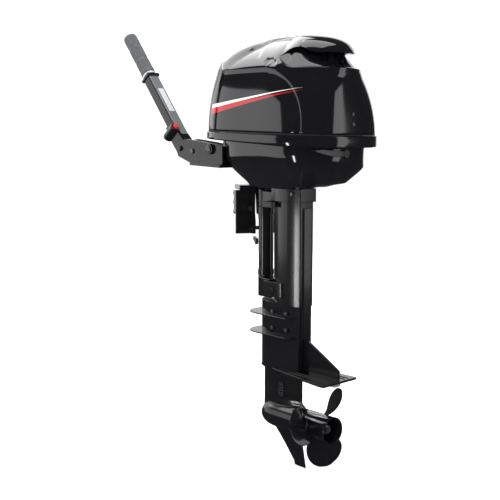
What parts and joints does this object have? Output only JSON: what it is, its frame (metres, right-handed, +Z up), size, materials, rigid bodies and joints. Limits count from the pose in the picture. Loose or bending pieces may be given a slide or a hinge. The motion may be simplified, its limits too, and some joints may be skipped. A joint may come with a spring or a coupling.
{
  "type": "outboard motor",
  "caption": "Portable tiller-steered outboard motor with lift-off hood, clamp brackets, tilting and steering leg, gearcase and open-hub propeller.",
  "frame": {"origin": "aft face of the boat's transom at its top edge, midway between the two clamp brackets", "axes": "+X aft from the transom, +Y to starboard, +Z up. The motor is steered 30 degrees about +Z at rest."},
  "size_m": [0.6417, 0.5611, 1.0841],
  "materials": {
    "gloss_black": "gloss",
    "satin_black": "satin black paint",
    "prop_black": "gloss black paint",
    "matt_black": "matt",
    "rubber": "matt",
    "grey_rubber": "matt",
    "cast_aluminium": "as cast",
    "bright_steel": "bright",
    "dark_steel": "dull",
    "copper": "drawn",
    "zinc": "dull",
    "red": "gloss",
    "ceramic": "glazed"
  },
  "bodies": {
    "clamp": {"starboard_clamp_bracket": "satin_black", "port_clamp_bracket": "satin_black", "tilt_bolt": "bright_steel", "tilt_bolt_nut": "bright_steel", "thrust_rod": "bright_steel"},
    "starboard_screw": {"starboard_clamp_screw": "dark_steel", "starboard_clamp_pad": "bright_steel"},
    "port_screw": {"port_clamp_screw": "dark_steel", "port_clamp_pad": "bright_steel"},
    "swivel": {"swivel_bracket": "satin_black", "upper_steering_bush": "rubber", "lower_steering_bush": "rubber"},
    "tilt_lock": {"tilt_lock_lever": "dark_steel"},
    "motor": {"steering_shaft": "bright_steel", "upper_mount_bracket": "satin_black", "lower_mount_bracket": "satin_black", "starboard_upper_mount_rubber": "rubber", "port_upper_mount_rubber": "rubber", "starboard_lower_mount_rubber": "rubber", "port_lower_mount_rubber": "rubber", "drive_shaft_housing": "satin_black", "gearcase": "satin_black", "starboard_intake_screen": "matt_black", "port_intake_screen": "matt_black", "anode": "zinc", "bearing_carrier": "cast_aluminium", "water_pump_housing": "matt_black", "water_tube": "copper", "lower_cowl": "gloss_black", "cowl_seal": "rubber", "engine_block": "cast_aluminium", "cylinder_head": "cast_aluminium", "lower_spark_plug": "ceramic", "upper_spark_plug": "ceramic", "carburettor": "cast_aluminium", "ignition_coil": "matt_black", "recoil_starter": "matt_black", "fuel_connector": "dark_steel", "tiller_bracket": "satin_black"},
    "crank_line": {"crankshaft": "bright_steel", "flywheel": "cast_aluminium", "drive_shaft": "bright_steel", "pinion_gear": "dark_steel", "pump_impeller": "rubber"},
    "forward_gear": {"forward_gear": "dark_steel"},
    "reverse_gear": {"reverse_gear": "dark_steel"},
    "propeller_line": {"propeller_shaft": "bright_steel", "propeller": "prop_black", "propeller_nut": "bright_steel"},
    "clutch": {"clutch_dog": "dark_steel"},
    "shift_rod": {"shift_rod": "bright_steel"},
    "shift_lever": {"shift_lever": "matt_black"},
    "hood": {"hood": "gloss_black"},
    "latch": {"cowl_latch": "satin_black"},
    "starter_grip": {"starter_grip": "matt_black"},
    "choke": {"choke_knob": "matt_black"},
    "tiller": {"tiller_arm": "cast_aluminium"},
    "throttle": {"throttle_grip": "grey_rubber"},
    "stop_button": {"stop_button": "red"}
  },
  "joints": [
    {"name": "starboard_clamp_screw", "type": "slide", "parent": "clamp", "child": "starboard_screw", "axis": [1, 0, 0], "range_m": [0, 0.034]},
    {"name": "port_clamp_screw", "type": "slide", "parent": "clamp", "child": "port_screw", "axis": [1, 0, 0], "range_m": [0, 0.034]},
    {"name": "tilt", "type": "hinge", "parent": "clamp", "child": "swivel", "pos_m": [-0.012, 0, 0.026], "axis": [0, -1, 0], "range_deg": [0, 75]},
    {"name": "tilt_lock", "type": "hinge", "parent": "swivel", "child": "tilt_lock", "pos_m": [0.034, -0.018, -0.128], "axis": [0, -1, 0], "range_deg": [0, 30]},
    {"name": "steering", "type": "hinge", "parent": "swivel", "child": "motor", "pos_m": [0.062, 0, 0], "axis": [0, 0, 1], "range_deg": [-70, 10]},
    {"name": "crank_spin", "type": "hinge", "parent": "motor", "child": "crank_line", "pos_m": [0.14167, 0.046, 0.1], "axis": [0, 0, 1], "continuous": true},
    {"name": "forward_gear_spin", "type": "hinge", "parent": "motor", "child": "forward_gear", "pos_m": [0.12695, 0.0375, -0.558], "axis": [0.866, 0.5, 0], "continuous": true},
    {"name": "reverse_gear_spin", "type": "hinge", "parent": "motor", "child": "reverse_gear", "pos_m": [0.15553, 0.054, -0.558], "axis": [0.866, 0.5, 0], "continuous": true},
    {"name": "propeller_spin", "type": "hinge", "parent": "motor", "child": "propeller_line", "pos_m": [0.21788, 0.09, -0.558], "axis": [0.866, 0.5, 0], "continuous": true},
    {"name": "clutch_slide", "type": "slide", "parent": "propeller_line", "child": "clutch", "axis": [0.866, 0.5, 0], "range_m": [-0.0036, 0.0036]},
    {"name": "shift_lever", "type": "hinge", "parent": "motor", "child": "shift_lever", "pos_m": [0.03864, 0.12046, 0.1], "axis": [-0.5, 0.866, 0], "range_deg": [-21, 21]},
    {"name": "shift_rod_slide", "type": "slide", "parent": "motor", "child": "shift_rod", "axis": [0, 0, 1], "range_m": [-0.0044, 0.0044]},
    {"name": "hood_lift", "type": "slide", "parent": "motor", "child": "hood", "axis": [0, 0, 1], "range_m": [0, 0.25]},
    {"name": "latch", "type": "hinge", "parent": "motor", "child": "latch", "pos_m": [0.294, 0.12817, 0.096], "axis": [0.866, 0.5, 0], "range_deg": [0, 70]},
    {"name": "starter_pull", "type": "slide", "parent": "motor", "child": "starter_grip", "axis": [-0.866, -0.5, 0], "range_m": [0, 0.45], "stiffness_N_per_m": 40},
    {"name": "choke_pull", "type": "slide", "parent": "motor", "child": "choke", "axis": [-0.866, -0.5, 0], "range_m": [0, 0.02]},
    {"name": "tiller_fold", "type": "hinge", "parent": "motor", "child": "tiller", "pos_m": [-0.05937, -0.17977, 0.104], "axis": [-0.5, 0.866, 0], "range_deg": [-50, 40]},
    {"name": "throttle", "type": "hinge", "parent": "tiller", "child": "throttle", "pos_m": [-0.05937, -0.17977, 0.104], "axis": [-0.5567, -0.3214, 0.766], "range_deg": [0, 80]},
    {"name": "stop_button", "type": "slide", "parent": "tiller", "child": "stop_button", "axis": [-0.6634, -0.383, -0.6428], "range_m": [0, 0.0035], "stiffness_N_per_m": 300}
  ],
  "couplings": [
    {"joint": "forward_gear_spin", "follows": "crank_spin", "ratio": 0.48148},
    {"joint": "reverse_gear_spin", "follows": "crank_spin", "ratio": -0.48148},
    {"joint": "shift_lever", "follows": "shift_rod_slide", "rad_per_m": 80},
    {"joint": "clutch_slide", "follows": "shift_rod_slide", "ratio": 0.8}
  ]
}
